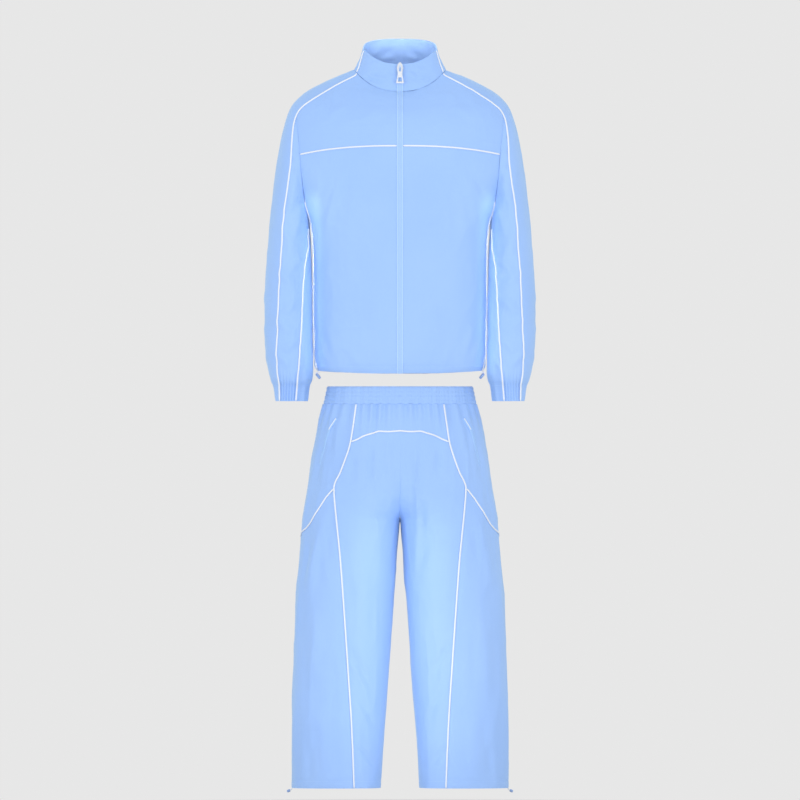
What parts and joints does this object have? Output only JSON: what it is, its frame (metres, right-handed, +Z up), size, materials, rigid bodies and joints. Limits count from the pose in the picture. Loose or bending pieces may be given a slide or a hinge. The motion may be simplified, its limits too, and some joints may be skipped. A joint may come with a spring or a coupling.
{
  "type": "tracksuit",
  "caption": "Light blue tracksuit with white piping: a zipped jacket with a stand collar and gathered cuffs, over loose trousers with an elastic waistband.",
  "frame": {"origin": "middle of the jacket's neck at the height where the shoulders meet the collar, where the wearer's shoulders carry it", "axes": "+Z up, -Y towards the front (the zip), +X towards the wearer's left, which is on the viewer's right"},
  "size_m": [0.6234, 0.2743, 1.7357],
  "materials": {
    "cloth": "satin",
    "zip_tape": "matte",
    "piping": "satin",
    "cord": "matte",
    "toggle": "satin",
    "zip_metal": "polished"
  },
  "bodies": {
    "suit": {"collar_back": "cloth", "collar_front_l": "cloth", "collar_front_r": "cloth", "hem_loop_l": "cord", "hem_loop_r": "cord", "hem_toggle_l": "toggle", "hem_toggle_r": "toggle", "jacket_back": "cloth", "jacket_front_l": "cloth", "jacket_front_r": "cloth", "jacket_front_yoke_l": "cloth", "jacket_front_yoke_r": "cloth", "jacket_side_l": "cloth", "jacket_side_r": "cloth", "leg_loop_l": "cord", "leg_loop_r": "cord", "leg_toggle_l": "toggle", "leg_toggle_r": "toggle", "piping_back_yoke": "piping", "piping_branch_l": "piping", "piping_branch_r": "piping", "piping_collar_l": "piping", "piping_collar_r": "piping", "piping_inner_sleeve_l": "piping", "piping_inner_sleeve_r": "piping", "piping_princess_l": "piping", "piping_princess_r": "piping", "piping_shoulder_l": "piping", "piping_shoulder_r": "piping", "piping_side_l": "piping", "piping_side_r": "piping", "piping_trouser_yoke": "piping", "piping_yoke_l": "piping", "piping_yoke_r": "piping", "pocket_puller_l": "piping", "pocket_puller_r": "piping", "pocket_welt_l": "cloth", "pocket_welt_r": "cloth", "sleeve_band_l": "cloth", "sleeve_band_r": "cloth", "sleeve_front_l": "cloth", "sleeve_front_r": "cloth", "sleeve_under_l": "cloth", "sleeve_under_r": "cloth", "trouser_back_l": "cloth", "trouser_back_r": "cloth", "trouser_back_yoke": "cloth", "trouser_centre_front_l": "cloth", "trouser_centre_front_r": "cloth", "trouser_front_yoke": "cloth", "trouser_outer_leg_l": "cloth", "trouser_outer_leg_r": "cloth", "trouser_pocket_side_l": "cloth", "trouser_pocket_side_r": "cloth", "waistband": "cloth", "zip_slider": "zip_metal", "zip_tape": "zip_tape"},
    "pull_tab": {"zip_pull": "zip_metal"}
  },
  "joints": [
    {"name": "pull_tab_hinge", "type": "hinge", "parent": "suit", "child": "pull_tab", "pos_m": [0, -0.06818, 0.01167], "axis": [-1, 0, 0], "range_deg": [0, 150]}
  ]
}
